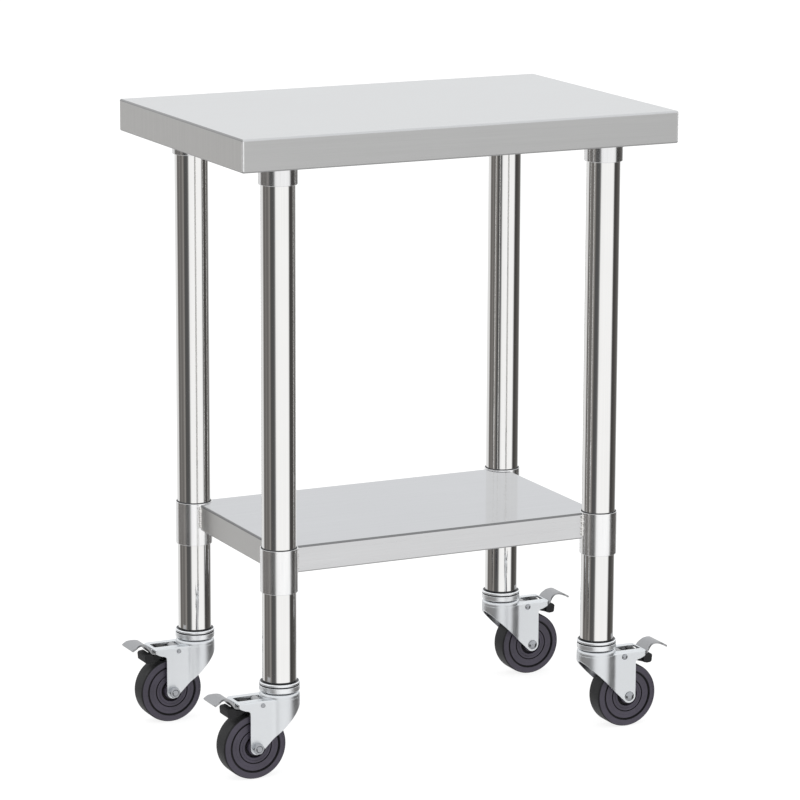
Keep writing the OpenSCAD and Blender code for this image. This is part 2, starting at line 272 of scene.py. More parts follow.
class Nodes:
    """Short names for building one material's node tree."""

    def __init__(self, name):
        self.mat = bpy.data.materials.new(name)
        self.mat.use_nodes = True
        self.tree = self.mat.node_tree
        self.bsdf = next(n for n in self.tree.nodes if n.type == "BSDF_PRINCIPLED")
        MATS[name] = self.mat

    def new(self, kind, **props):
        n = self.tree.nodes.new(kind)
        for k, v in props.items():
            setattr(n, k, v)
        return n

    def put(self, socket, value):
        if isinstance(value, bpy.types.NodeSocket):
            self.tree.links.new(value, socket)
        elif isinstance(value, (tuple, list)) and len(value) == 3 and socket.type == "RGBA":
            socket.default_value = (*value, 1)
        else:
            socket.default_value = value

    def coords(self, scale, uv=None, turn=(0, 0, 0)):
        if uv:
            src = self.new("ShaderNodeUVMap", uv_map=uv).outputs["UV"]
        else:
            src = self.new("ShaderNodeTexCoord").outputs["Object"]
        m = self.new("ShaderNodeMapping")
        self.put(m.inputs["Vector"], src)
        m.inputs["Scale"].default_value = scale
        m.inputs["Rotation"].default_value = turn
        return m.outputs["Vector"]

    def noise(self, vec, scale=1.0, detail=3.0, rough=0.5, distort=0.0):
        n = self.new("ShaderNodeTexNoise")
        self.put(n.inputs["Vector"], vec)
        n.inputs["Scale"].default_value = scale
        n.inputs["Detail"].default_value = detail
        n.inputs["Roughness"].default_value = rough
        n.inputs["Distortion"].default_value = distort
        return n.outputs["Fac"]

    def cells(self, vec, scale):
        n = self.new("ShaderNodeTexVoronoi")
        self.put(n.inputs["Vector"], vec)
        n.inputs["Scale"].default_value = scale
        return n.outputs["Distance"], n.outputs["Color"]

    def math(self, op, a, b=0.0, c=None):
        n = self.new("ShaderNodeMath", operation=op)
        self.put(n.inputs[0], a)
        self.put(n.inputs[1], b)
        if c is not None:
            self.put(n.inputs[2], c)
        return n.outputs[0]

    def span(self, value, lo, hi, a=0.0, b=1.0):
        n = self.new("ShaderNodeMapRange")
        for s, v in zip(n.inputs, (value, lo, hi, a, b)):
            self.put(s, v)
        return n.outputs[0]

    def mix(self, fac, a, b):
        n = self.new("ShaderNodeMix", data_type="RGBA")
        self.put(n.inputs["Factor"], fac)
        self.put(n.inputs["A"] if False else n.inputs[6], a)
        self.put(n.inputs[7], b)
        return n.outputs[2]

    def bump(self, height, strength, distance, normal=None):
        n = self.new("ShaderNodeBump")
        n.inputs["Strength"].default_value = strength
        n.inputs["Distance"].default_value = distance
        self.put(n.inputs["Height"], height)
        if normal is not None:
            self.put(n.inputs["Normal"], normal)
        return n.outputs["Normal"]

    def finish(self, **sockets):
        for k, v in sockets.items():
            self.put(self.bsdf.inputs[k.replace("_", " ")], v)


def tint(c, k):
    return tuple(min(1.0, x * k) for x in c)


def brushed(name, base, r0, r1, uv="flat", streak=0.05, vary=0.035):
    """Satin stainless sheet, its grain running along the first UV axis."""
    m = Nodes(name)
    fine = m.noise(m.coords((14, 1700, 1), uv), 1, 3, 0.6)
    broad = m.noise(m.coords((2.2, 160, 1), uv), 1, 3, 0.55)
    cloud = m.noise(m.coords((5, 5, 5), None), 1, 3, 0.5)
    mixed = m.math("ADD", m.math("MULTIPLY", fine, 0.4), m.math("ADD", m.math("MULTIPLY", broad, 0.35),
                                                             m.math("MULTIPLY", cloud, 0.25)))
    m.finish(
        Base_Color=m.mix(m.span(mixed, 0.36, 0.64), tint(base, 1 - vary), tint(base, 1 + vary)),
        Metallic=1.0,
        Roughness=m.span(mixed, 0.36, 0.64, r0, r1),
        Normal=m.bump(m.math("ADD", m.math("MULTIPLY", fine, 0.7), m.math("MULTIPLY", broad, 0.3)), streak, 0.0004),
    )
    return m


def metal(name, base, r0, r1, scale=(90, 90, 90), bump=0.03, vary=0.05, cells=0, depth=0.0003):
    """Plain, plated or polished metal. cells is the spangle size's frequency, in 1/m."""
    m = Nodes(name)
    a = m.noise(m.coords(scale), 1, 4, 0.6)
    b = m.noise(m.coords((18, 18, 18)), 1, 3, 0.5)
    both = m.math("ADD", m.math("MULTIPLY", a, 0.65), m.math("MULTIPLY", b, 0.35))
    if cells:
        d, _ = m.cells(m.coords((1, 1, 1)), cells)
        both = m.math("ADD", m.math("MULTIPLY", both, 0.72), m.math("MULTIPLY", d, 0.32))
    m.finish(
        Base_Color=m.mix(m.span(both, 0.36, 0.64), tint(base, 1 - vary), tint(base, 1 + vary)),
        Metallic=1.0,
        Roughness=m.span(both, 0.36, 0.64, r0, r1),
        Normal=m.bump(a, bump, depth),
    )
    return m


def moulded(name, base, light, r0, r1, spec, grain=900, bump=0.12):
    """Moulded rubber or plastic with a fine mould texture and faint scuffs."""
    m = Nodes(name)
    fine = m.noise(m.coords((grain, grain, grain)), 1, 3, 0.6)
    soft = m.noise(m.coords((38, 38, 38)), 1, 4, 0.6, 0.4)
    scuff = m.span(m.noise(m.coords((150, 60, 150)), 1, 5, 0.7, 1.2), 0.56, 0.74)
    colour = m.mix(m.span(soft, 0.35, 0.65), tint(base, 0.86), tint(base, 1.14))
    colour = m.mix(m.math("MULTIPLY", scuff, 0.35), colour, light)
    m.finish(
        Base_Color=colour,
        Metallic=0.0,
        Roughness=m.span(m.math("ADD", m.math("MULTIPLY", soft, 0.5), m.math("MULTIPLY", fine, 0.5)), 0.35, 0.65, r0, r1),
        Normal=m.bump(fine, bump, 0.0003),
    )
    m.bsdf.inputs["Specular IOR Level"].default_value = spec
    return m


# The top is one brushed stainless sheet. Its front and back aprons and its ends use darker copies of the top face's
# colour: painted shade on the upright faces.
brushed("top_face", (0.712, 0.716, 0.718), 0.34, 0.46)
brushed("top_apron_shaded", (0.52, 0.52, 0.517), 0.34, 0.46, vary=0.07)
brushed("top_side_shaded", (0.62, 0.615, 0.604), 0.34, 0.46, vary=0.07)
# The two upper-fold materials are darker copies of the sheet: painted dark reflection along the folds, strong on the
# ends and faint on the front and back.
brushed("top_bend_shade", (0.36, 0.36, 0.36), 0.36, 0.48)
brushed("top_bend_soft_shade", (0.66, 0.665, 0.67), 0.40, 0.52)
# The shelf is one brushed sheet. Its face, its front and back aprons and its ends get different tones for how light
# falls on each: painted light and shade.
brushed("shelf_face", (0.53, 0.535, 0.55), 0.075, 0.12, streak=0.012, vary=0.04)
brushed("shelf_apron", (0.70, 0.702, 0.71), 0.26, 0.36, vary=0.06)
brushed("shelf_side", (0.62, 0.615, 0.605), 0.30, 0.42)
# Near-black fold material: painted dark reflection along the shelf's upper folds.
brushed("shelf_bend_shade", (0.25, 0.25, 0.255), 0.36, 0.48)
# Dark lower-fold material shared by both sheets: painted shade along the underside fold of every apron.
brushed("under_bend_shade", (0.42, 0.42, 0.42), 0.36, 0.48)
# Ground weld finish on the top's rounded corners, its colour brightened into a painted highlight.
metal("ground_corner_highlight", (0.95, 0.95, 0.95), 0.48, 0.58, (420, 420, 420), 0.05, 0.03)
metal("tube", (0.93, 0.925, 0.915), 0.045, 0.085, (520, 520, 2.5), 0.012, 0.02, depth=0.0001)
metal("collar", (0.97, 0.97, 0.975), 0.18, 0.25, (260, 260, 14), 0.02, 0.03, depth=0.0002)
metal("socket", (0.88, 0.88, 0.885), 0.13, 0.20, (260, 260, 14), 0.02, 0.03, depth=0.0002)
metal("zinc", (0.79, 0.81, 0.83), 0.36, 0.42, (60, 60, 60), 0.006, 0.02, depth=0.0001)
metal("zinc_bright", (0.84, 0.86, 0.885), 0.13, 0.2, (500, 500, 500), 0.03, 0.04, depth=0.0002)
metal("cup_zinc", (0.93, 0.945, 0.96), 0.36, 0.42, (60, 60, 60), 0.006, 0.02, depth=0.0001)
# Near-black steel, painted shadow: the gap at the collar's top, and the groove and neck of the bearing cup.
metal("gap_shade", (0.10, 0.10, 0.105), 0.45, 0.55, (200, 200, 200), 0.02, 0.05)
metal("fastener", (0.40, 0.41, 0.43), 0.16, 0.24, (500, 500, 500), 0.02, 0.04, depth=0.0002)
metal("pedal_face", (0.405, 0.408, 0.418), 0.34, 0.46, (600, 600, 600), 0.05, 0.05)
metal("plain_steel", (0.58, 0.585, 0.59), 0.32, 0.5, (160, 160, 160), 0.06, 0.08)
metal("channel", (0.66, 0.665, 0.67), 0.3, 0.42, (20, 340, 20), 0.04, 0.05)
metal("weld", (0.86, 0.845, 0.82), 0.16, 0.36, (600, 600, 600), 0.25, 0.14, depth=0.0006)
moulded("wheel_face", (0.040, 0.034, 0.052), (0.075, 0.065, 0.085), 0.30, 0.42, 0.5)
# Near-black rubber: painted shade in the wheel core's ring groove, rim step and hub recess.
moulded("wheel_recess_shade", (0.010, 0.009, 0.011), (0.03, 0.03, 0.03), 0.45, 0.6, 0.2)
moulded("tread", (0.011, 0.011, 0.012), (0.05, 0.05, 0.052), 0.42, 0.6, 0.25)
moulded("shoe", (0.013, 0.013, 0.014), (0.04, 0.04, 0.04), 0.5, 0.65, 0.25, 700, 0.2)

# ------------------------------------------------------------------ folded sheets


def folded_edge(depth, hem, bend=2.6, n=5):
    """Outer and inner points of a folded edge, as (inset from the face, depth below the top), from the flat top round to the end of the return."""
    ri = bend - SHEET
    out, inn = [], []
    for k in range(n + 1):
        a = PI / 2 * k / n
        out.append((bend - bend * math.sin(a), bend - bend * math.cos(a)))
        inn.append((bend - ri * math.sin(a), bend - ri * math.cos(a)))
    for k in range(n + 1):
        a = PI / 2 * k / n
        out.append((bend - bend * math.cos(a), depth - bend + bend * math.sin(a)))
        inn.append((bend - ri * math.cos(a), depth - bend + ri * math.sin(a)))
    out.append((hem, depth))
    inn.append((hem, depth - SHEET))
    length, lens = 0.0, [0.0]
    for p, q in zip(out, out[1:]):
        length += math.hypot(q[0] - p[0], q[1] - p[1])
        lens.append(length)
    return out, inn, lens


def flat_uv(side, p, hx, hy, s):
    """Where a point of a folded edge lay on the flat sheet."""
    return {"x+": (hx + s, p[1]), "x-": (-hx - s, p[1]), "y-": (p[0], -hy - s), "y+": (p[0], hy + s)}[side]


def make_top():
    hx, hy = (TOP_HI[0] - TOP_LO[0]) / 2, (TOP_HI[1] - TOP_LO[1]) / 2
    z = TOP_HI[2]
    rc, bend = 2.4, 2.6
    out, inn, lens = folded_edge(TOP_HI[2] - TOP_LO[2], 12, bend)
    stations = []            # (corner x sign, corner y sign, angle) or a blend between two of them, with its side
    order = [(1, -1, -90, "y-", "x+"), (1, 1, 0, "x+", "y+"), (-1, 1, 90, "y+", "x-"), (-1, -1, 180, "x-", "y-")]
    for c in range(4):
        sx, sy, a0, before, after = order[c]
        for k in range(7):
            stations.append(((sx, sy, a0 + 15 * k), None, 0.0, before if k < 3 else after))
        nx = order[(c + 1) % 4]
        for k in range(1, 12):
            stations.append(((sx, sy, a0 + 90), (nx[0], nx[1], nx[2]), k / 12, after))

    def corner(c, inset):
        sx, sy, a = c
        if inset >= rc:
            return Vector((sx * (hx - inset), sy * (hy - inset)))
        return Vector((sx * (hx - rc), sy * (hy - rc))) + (rc - inset) * Vector((math.cos(math.radians(a)), math.sin(math.radians(a))))

    def at(st, inset):
        a = corner(st[0], inset)
        return a if st[1] is None else a.lerp(corner(st[1], inset), st[2])

    verts, faces, ids, uvs = [], [], [], []
    n, m = len(out), len(stations)
    index = {}
    for shell, chain in (("o", out), ("i", inn)):
        for k, (inset, dep) in enumerate(chain):
            for i, st in enumerate(stations):
                p = at(st, inset)
                index[shell, k, i] = len(verts)
                verts.append((p.x, p.y, z - dep))

    def quad(a, b, c, d, side, mat):
        faces.append(tuple(index[q] for q in (a, b, c, d)))
        ids.append(mat)
        uvs.append([flat_uv(side, verts[index[q]], hx - bend, hy - bend, lens[q[1]]) for q in (a, b, c, d)])

    for i in range(m):
        j = (i + 1) % m
        side = stations[i][3]
        rounded = i % 18 < 6
        for k in range(n - 1):
            if k < 5:
                # Upper fold faces take the painted dark-reflection fold colours.
                mat = 0 if k == 0 else (5 if side[0] == "y" else 3)
            # Rounded corner aprons take the ground finish with its painted highlight.
            elif rounded and k < 6:
                mat = 4
            else:
                # The lower fold takes the painted-shade colour; the rest of each apron takes its sheet tone.
                mat = (1 if side[0] == "y" else 2) if k < 7 or k > 10 else 6
            quad(("o", k, i), ("o", k + 1, i), ("o", k + 1, j), ("o", k, j), side, mat)
            quad(("i", k, i), ("i", k, j), ("i", k + 1, j), ("i", k + 1, i), side, 1)
        quad(("o", n - 1, i), ("i", n - 1, i), ("i", n - 1, j), ("o", n - 1, j), side, 1)
    for shell, mat, flip in (("o", 0, False), ("i", 1, True)):
        ring = []
        for i in range(m):
            k = index[shell, 0, i]
            if not ring or (Vector(verts[k]) - Vector(verts[ring[-1]])).length > 1e-4:
                ring.append(k)
        if (Vector(verts[ring[0]]) - Vector(verts[ring[-1]])).length < 1e-4:
            ring.pop()
        if flip:
            ring.reverse()
        faces.append(tuple(ring))
        ids.append(mat)
        uvs.append([(verts[k][0], verts[k][1]) for k in ring])
    me = mesh_from("top_pan", verts, faces, ids, uvs)
    pan = piece("top_pan", me, ["top_face", "top_apron_shaded", "top_side_shaded", "top_bend_shade", "ground_corner_highlight", "top_bend_soft_shade", "under_bend_shade"], "table", ["tabletop"], angle=40)
    pan.visible_glossy = False


def make_shelf():
    hx, hy = (SHELF_HI[0] - SHELF_LO[0]) / 2, (SHELF_HI[1] - SHELF_LO[1]) / 2
    z, depth, hem, bend = SHELF_HI[2], SHELF_HI[2] - SHELF_LO[2], 10, 2.6
    rcol = (COL_HI[0] - COL_LO[0]) / 2 + 0.02
    out, inn, lens = folded_edge(depth, hem, bend)
    n = len(out)
    verts, faces, ids, uvs = [], [], [], []
    plate = []
    parts = 13
    for side, along_x, sgn in (("y-", True, -1), ("x+", False, 1), ("y+", True, 1), ("x-", False, -1)):
        h, l_here, l_along = (hy, LY, LX) if along_x else (hx, LX, LY)
        index = {}
        for shell, chain in (("o", out), ("i", inn)):
            for k, (inset, dep) in enumerate(chain):
                reach = l_along - math.sqrt(rcol ** 2 - (h - inset - l_here) ** 2)
                for i in range(parts):
                    t = -reach + 2 * reach * i / (parts - 1)
                    t = t if sgn < 0 and along_x or sgn > 0 and not along_x else -t
                    index[shell, k, i] = len(verts)
                    verts.append((t, sgn * (h - inset), z - dep) if along_x else (sgn * (h - inset), t, z - dep))

        def quad(a, b, c, d, mat):
            faces.append(tuple(index[q] for q in (a, b, c, d)))
            ids.append(mat)
            uvs.append([flat_uv(side, verts[index[q]], hx - bend, hy - bend, lens[q[1]]) for q in (a, b, c, d)])

        for i in range(parts - 1):
            for k in range(n - 1):
                # Upper fold faces take the painted dark-reflection colour, the aprons and ends their painted-light
                # tones, and the lower fold its painted shade.
                quad(("o", k, i), ("o", k + 1, i), ("o", k + 1, i + 1), ("o", k, i + 1),
                     (0 if k == 0 else 3) if k < 5 else ((1 if along_x else 2) if k < 7 or k > 10 else 4))
                quad(("i", k, i), ("i", k, i + 1), ("i", k + 1, i + 1), ("i", k + 1, i), 1)
            quad(("o", n - 1, i), ("i", n - 1, i), ("i", n - 1, i + 1), ("o", n - 1, i + 1), 1)
        for i in (0, parts - 1):
            for k in range(n - 1):
                quad(("o", k, i), ("i", k, i), ("i", k + 1, i), ("o", k + 1, i), 1)
        plate.append([verts[index["o", 0, i]][:2] for i in range(parts)])
    ring = []
    arcs = []
    for s in range(4):
        ring += plate[s]
        a, b = Vector(plate[s][-1]), Vector(plate[(s + 1) % 4][0])
        c = Vector((math.copysign(LX, a.x), math.copysign(LY, a.y)))
        a0, a1 = math.atan2(*(a - c).yx), math.atan2(*(b - c).yx)
        d = (a1 - a0 + PI) % (2 * PI) - PI
        ring += [tuple(c + rcol * Vector((math.cos(a0 + d * k / 14), math.sin(a0 + d * k / 14)))) for k in range(1, 14)]
        arcs.append(len(ring))
    base = len(verts)
    m = len(ring)
    for zz in (z, z - SHEET):
        verts += [(p[0], p[1], zz) for p in ring]
    faces.append(tuple(base + k for k in range(m)))
    ids.append(0)
    uvs.append([tuple(p) for p in ring])
    faces.append(tuple(base + m + k for k in range(m - 1, -1, -1)))
    ids.append(1)
    uvs.append([tuple(ring[k]) for k in range(m - 1, -1, -1)])
    for e in arcs:
        for k in range(e - 14, e):
            j = (k + 1) % m
            faces.append((base + k, base + m + k, base + m + j, base + j))
            ids.append(1)
            uvs.append([tuple(ring[k])] * 2 + [tuple(ring[j])] * 2)
    me = mesh_from("shelf_pan", verts, faces, ids, uvs, merge=0.003)
    pan = piece("shelf_pan", me, ["shelf_face", "shelf_apron", "shelf_side", "shelf_bend_shade", "under_bend_shade"], "shelf", ["undershelf"], angle=40)
    pan.visible_glossy = False       # the polished tubes show only the studio's upright bands
    # weld beads where the folded edges meet the collars
    made = []
    reach_x = LX - math.sqrt(rcol ** 2 - (hy - LY) ** 2)
    reach_y = LY - math.sqrt(rcol ** 2 - (hx - LX) ** 2)
    for c, (sx, sy) in CORNERS.items():
        for tag, x, y in (("long", sx * reach_x, sy * (hy + 0.2)), ("short", sx * (hx + 0.2), sy * reach_y)):
            rows, seg = 61, 14
            v, f = [], []
            z0, z1 = z - depth + 3.5, z - 2.5
            seed = (hash_of(c + tag) % 100) / 100 * 6
            for r in range(rows):
                t = r / (rows - 1)
                zz = z0 + (z1 - z0) * t
                ripple = 0.5 + 0.5 * math.cos(2 * PI * t * 11 + seed)
                cap = math.sqrt(max(0.0, 1 - (2 * t - 1) ** 20))
                rad = (2.1 + 0.55 * ripple + 0.35 * math.sin(t * 17 + seed) * math.sin(t * 7.3 + 2 * seed)) * (0.25 + 0.75 * cap)
                dx, dy = 0.28 * math.sin(t * 23 + seed), 0.28 * math.cos(t * 19 + 1.7 * seed)
                for s in range(seg):
                    a = 2 * PI * s / seg
                    px, py = x + dx + rad * math.cos(a) - sx * LX, y + dy + rad * math.sin(a) - sy * LY
                    k = max(1.0, (rcol - 0.9) / math.hypot(px, py))      # ends in the collar's wall, clear of the leg
                    v.append((sx * LX + px * k, sy * LY + py * k, zz))
            f.append(tuple(range(seg)))
            for r in range(rows - 1):
                f += [(r * seg + s, r * seg + (s + 1) % seg, (r + 1) * seg + (s + 1) % seg, (r + 1) * seg + s) for s in range(seg)]
            f.append(tuple(range(rows * seg - 1, (rows - 1) * seg - 1, -1)))
            bead = mesh_from("weld_" + c + "_" + tag, v, f)
            made.append(piece("weld_bead_" + c + "_" + tag, bead, ["weld"], "shelf", angle=70))
    return made


def hash_of(text):
    h = 7
    for ch in text:
        h = (h * 31 + ord(ch)) % 9973
    return h


def make_channels():
    bot, top = mm_box("top_channel_left")[0][2], mm_box("top_channel_left")[1][2]
    y = mm_box("top_channel_left")[1][1]
    hat = fillet([(-44, top), (-44, top - 2, 0.4), (-30, top - 2, 1.0), (-30, bot, 3.0), (30, bot, 3.0), (30, top - 2, 1.0),
                  (44, top - 2, 0.4), (44, top), (28, top, 2.4), (28, bot + 2, 1.2), (-28, bot + 2, 1.2), (-28, top, 2.4)])
    for tag, s in (("left", -1), ("right", 1)):
        me = prism("channel_" + tag, [(s * LX + p[0], p[1]) for p in hat], -y, y, "Y")
        piece("hat_channel_" + tag, me, ["channel"], "table", ["top_channel_" + tag])


def make_legs():
    z0, z1 = LEG_LO[2], LEG_HI[2]
    ri = TUBE_R - 1.5
    tube = lathe("tube", fillet([(ri, z0, 0.4), (TUBE_R, z0, 0.9), (TUBE_R, z1, 0.8), (ri, z1, 0.4)]), 128)
    bore = TUBE_R + 0.08
    s0, s1 = SOC_LO[2], SOC_HI[2]
    so = 25.0
    cup = lathe("cup", fillet([(0, s1 - 1.2), (0, s1 - 4.3), (bore, s1 - 4.3, 0.5), (bore, s0, 0.5), (so, s0, 0.9), (so, s1 - 5.2, 2.0),
                              (so + 2.6, s1 - 2.2), (so + 2.6, s1 - 1.2)]), 112)
    flange = prism("flange", fillet([(-28, -32, 3), (28, -32, 3), (28, 32, 3), (-28, 32, 3)], 5), s1 - 2.5, s1)
    hole = lathe("hole", [(0, 10), (3, 10), (3, 40), (0, 40)], 32, "Y", origin=(0, 0, s0 + 16))
    socket = combine(cup, ("UNION", flange), ("DIFFERENCE", hole))
    c0, c1 = COL_LO[2], COL_HI[2]
    ro = (COL_HI[0] - COL_LO[0]) / 2
    ring = lathe("ring", fillet([(bore, c0, 0.4), (ro, c0, 0.9), (ro, c1, 0.35), (bore + 1.2, c1, 0.15), (bore, c1 - 3)]), 128)
    hole = lathe("hole", [(0, 10), (3, 10), (3, 40), (0, 40)], 32, "Y", origin=(0, 0, c0 + 12))
    collar = combine(ring, ("DIFFERENCE", hole))
    # A thin dark ring at the collar's top: painted shadow where the collar meets the tube.
    gap_shade = lathe("gap_shade", [(bore, c1 - 2.0), (bore + 0.5, c1 - 1.6), (bore + 0.75, c1 + 0.3), (bore + 0.6, c1 + 1.0), (bore, c1 + 1.2)], 96)
    for c, (sx, sy) in CORNERS.items():
        place = Matrix.Translation((sx * LX * 0.001, sy * LY * 0.001, 0))
        piece("leg_tube_" + c, tube.copy(), ["tube"], "table", ["leg_" + c], place)
        piece("socket_" + c, socket.copy(), ["socket"], "table", ["leg_socket_" + c], place)
        piece("collar_" + c, collar.copy(), ["collar"], "shelf", ["shelf_collar_" + c], place)
        piece("collar_gap_shade_" + c, gap_shade.copy(), ["gap_shade"], "shelf", place=place)


# ------------------------------------------------------------------ casters, drawn trailing towards +X

CROWN_R, HALF_OUT, BLEND = 26.0, 20.5, 14.0


def fork_outline(off):
    """Plan of the fork, moved in by off: round crown, blended into straight cheeks, round-cornered plate."""
    r, h, rb, xe = CROWN_R - off, HALF_OUT - off, BLEND + off, PLATE_END - off
    rc = max(4.0 - off, 0.3)
    cx = math.sqrt((r + rb) ** 2 - (h + rb) ** 2)
    th = math.degrees(math.atan2(h + rb, cx))
    pts = arc(xe - rc, -h + rc, rc, -90, 0, 5)
    pts += arc(xe - rc, h - rc, rc, 0, 90, 5)
    pts += arc(cx, h + rb, rb, 270, 180 + th, 7)
    pts += arc(0, 0, r, th, 360 - th, 56)[1:-1]
    pts += arc(cx, -h - rb, rb, 180 - th, 90, 7)
    return pts


def make_fork_mesh():
    top = FT
    rs = 2.2
    rings = []
    for z, off in [(25, 0), (top - rs, 0)] + [(top - rs + rs * math.sin(math.radians(a)), rs * (1 - math.cos(math.radians(a)))) for a in (15, 30, 45, 60, 75, 90)]:
        rings.append([(x, y, z) for x, y in fork_outline(off)])
    outer = stack("outer", rings)
    ri = 0.5
    rings = []
    inner_end = PLATE_END + 14

    def inner(off):
        # the cavity runs on through the open end
        return [((inner_end if x > PLATE_END - 7 else x), y) for x, y in fork_outline(off)]
    for z, off in [(18, 2.5), (top - 2.5 - ri, 2.5)] + [(top - 2.5 - ri + ri * math.sin(math.radians(a)), 2.5 + ri * (1 - math.cos(math.radians(a)))) for a in (30, 60, 90)]:
        rings.append([(x, y, z) for x, y in inner(off)])
    # square off the cavity's open end
    cavity = stack("cavity", rings)
    zc = WR
    side = arc(TRAIL, zc, 9, -134.5, 0, 14)
    side += fillet([(TRAIL + 9, zc + 4), (TRAIL + 9, FT - 13.8, 4.5), (50.8 + 1, FT - 11.3, 6), (56, FT - 10.6, 6), (61, FT - 8.5, 5), (67.5, FT - 4.6)], 5)[1:]
    side += [(PLATE_END + 8, FT - 4), (PLATE_END + 8, FT + 12), (-34, FT + 12), (-34, FT - 1.0)]
    sheet_side = prism("side", side, -40, 40, "Y")
    boss = lathe("boss", [(0, FT - 1.8), (25.4, FT - 1.8), (25.85, FT - 0.9)] +
                 smooth([(25.85, FT + 1.0), (25.6, FT + 2.4), (25.0, FT + 3.7), (24.2, FT + 4.6), (23.2, FT + 5.0)], 3) +
                 [(20.3, FT + 5.0), (20.1, FT + 4.6), (0, FT + 4.6)], 112)
    king = lathe("king", [(0, FT - 18), (6.05, FT - 18), (6.05, FT + 22), (0, FT + 22)], 48)
    window = prism("window", fillet([(26, -9, 2.2), (62, -9, 2.2), (62, 9, 2.2), (26, 9, 2.2)], 4), FT - 12, FT + 10)
    axle = lathe("axle", [(0, -40), (4.02, -40), (4.02, 40), (0, 40)], 40, "Y", origin=(TRAIL, 0, WR))
    pin = lathe("pin", [(0, -40), (2.51, -40), (2.51, 40), (0, 40)], 32, "Y", origin=(PIN_X, 0, PIN_Z))
    return combine(outer, ("DIFFERENCE", cavity), ("INTERSECT", sheet_side), ("UNION", boss), ("DIFFERENCE", king),
                   ("DIFFERENCE", window), ("DIFFERENCE", axle), ("DIFFERENCE", pin))


def make_stem_mesh():
    z = CUP_Z
    prof = fillet([(0, STEM_LO[2]), (8.4, STEM_LO[2], 0.8), (9.4, STEM_LO[2] + 1.2, 0.4), (9.4, FT - 2.8, 0.3), (6, FT - 2.8), (6, FT + 9.0),
                   (21.0, FT + 9.0), (21.0, FT + 6.7, 0.3), (25.3, FT + 6.7, 0.9), (26, FT + 7.7, 0.7), (26, z - 6.4, 0.5), (23.6, z - 6.1, 0.2),
                   (23.6, z - 4.9, 0.2), (26, z - 4.6, 0.5), (26, z - 2.3, 0.8), (24.9, z - 1.5, 0.7), (20.9, z - 1.5, 0.1), (20.9, z, 0.1),
                   (6, z, 0.3)], 3)
    top = STEM_HI[2]
    p = z + 2.0
    while p < top - 3:       # thread on the stem
        prof += [(6.0, p), (5.35, p + 0.62), (6.0, p + 1.25)]
        p += 1.25
    prof += [(6.0, top - 1.6), (4.8, top), (0, top)]
    # Material 1 paints shade into the cup's groove and into the recess under the tube.
    return lathe("stem", prof, 128, mat_of=lambda r, h: 1 if (z - 6.5 < h < z - 4.5 and r < 25.4) or (z - 1.6 < h < z - 0.05 and r < 23.5) else 0)


def make_tyre_mesh():
    h, r0 = HALF_TYRE, 0.775 * WR
    s = 4.0
    half = [(r0 + 0.9, -h + 1.9), (r0 + 0.9, -h + 0.5), (r0 + 1.5, -h), (WR - s - 0.9, -h), (WR - s - 0.5, -h + 0.25), (WR - s, -h + 0.3)]
    half += arc(WR - s, -h + s, s - 0.1, -84, 0, 7)[1:]
    half += [(WR - 0.04, -h * 0.45), (WR, 0)]
    prof = [(r0 - 0.02, -h + 1.9)] + half + [(r, -y) for r, y in reversed(half[:-1])] + [(r0 - 0.02, h - 1.9)]
    return lathe("tyre", prof, 144, "Y", lambda r, y: 0 if (abs(y) > h - 1.15 and r < WR - 1.6) else 1,
                 (TRAIL, 0, WR))


def make_core_mesh():
    h, r0 = HALF_TYRE - 0.8, 0.775 * WR
    half = [(6.05, 17.4), (9.6, 17.4), (10.5, 16.6), (10.7, h - 3.4), (11.2, h - 4.0), (13.6, h - 4.0), (14.2, h - 3.6), (14.4, h - 0.5), (14.9, h)]
    half += [(17.2, h), (17.5, h - 0.35), (17.9, h - 0.35), (18.2, h), (20.3, h), (20.5, h - 0.2), (20.5, h - 1.6), (21.7, h - 1.6), (21.7, h - 0.2), (21.9, h)]
    half += [(25.4, h), (25.8, h - 0.3), (29.2, h - 0.3), (29.5, h - 0.5), (29.7, h - 1.6), (30.94, h - 1.9)]
    k = (r0 - 14.9) / 16.1
    half = [(r if r < 15 else 14.9 + (r - 14.9) * k, y) for r, y in half]
    prof = half + [(r, -y) for r, y in reversed(half)]

    def mat(r, y):
        y = abs(y)
        r = r if r < 15 else 14.9 + (r - 14.9) / k
        # The ring groove, the step at the rim and the hub recess are coloured near-black as painted shade.
        if 20.4 < r < 21.8 and y < h - 0.25 or r > 29.55 or 10.6 < r < 14.3:
            return 1
        return 0
    return lathe("core", prof, 144, "Y", mat, (TRAIL, 0, WR))


